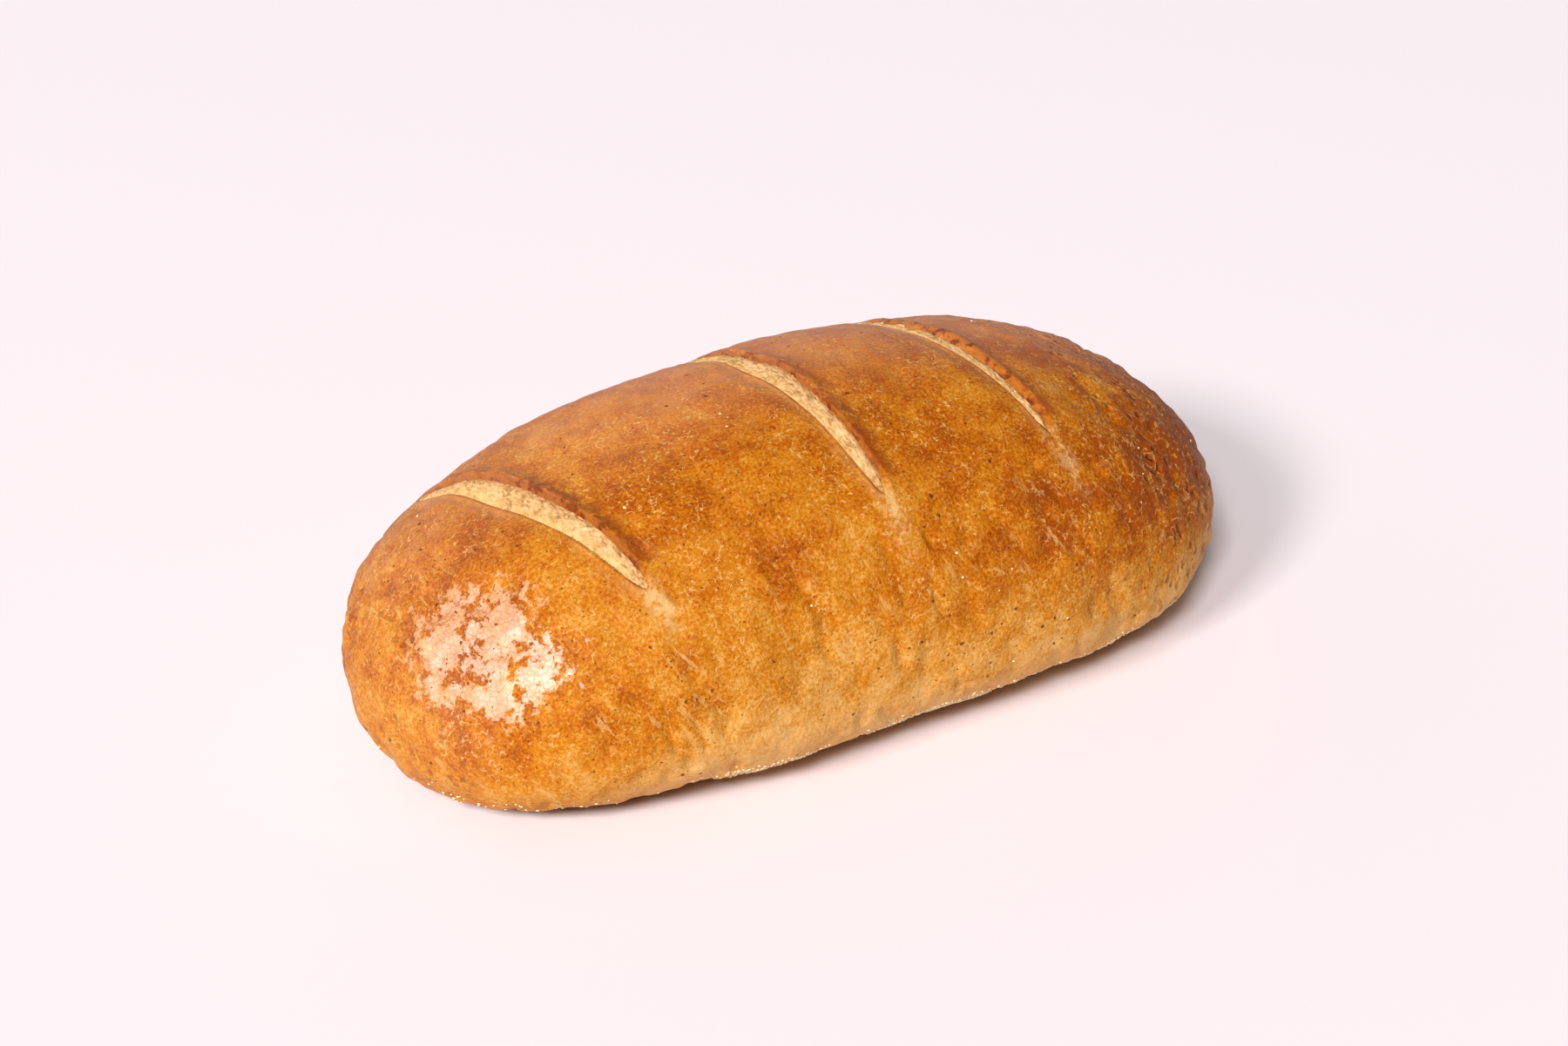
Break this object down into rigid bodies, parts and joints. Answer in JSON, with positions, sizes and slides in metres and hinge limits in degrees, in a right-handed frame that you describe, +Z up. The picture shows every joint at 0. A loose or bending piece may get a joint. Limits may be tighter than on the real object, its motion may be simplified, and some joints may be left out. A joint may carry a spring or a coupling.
{
  "type": "oval bread loaf",
  "caption": "Free-standing oval loaf of bread with a glossy browned crust and slashes across its top, resting on a flat base.",
  "frame": {"origin": "middle of the flat base, below the middle of the loaf's outline", "axes": "+X along the loaf towards the end that slopes down longer, +Y across it to the back, +Z up"},
  "size_m": [0.2804, 0.1438, 0.0959],
  "materials": {
    "crust": "glossy egg-washed crust, mottled golden to reddish brown",
    "crumb": "dry torn crumb, pale cream with fine pores",
    "semolina": "coarse pale grains"
  },
  "bodies": {
    "root": {"loaf": "crust"}
  },
  "joints": []
}
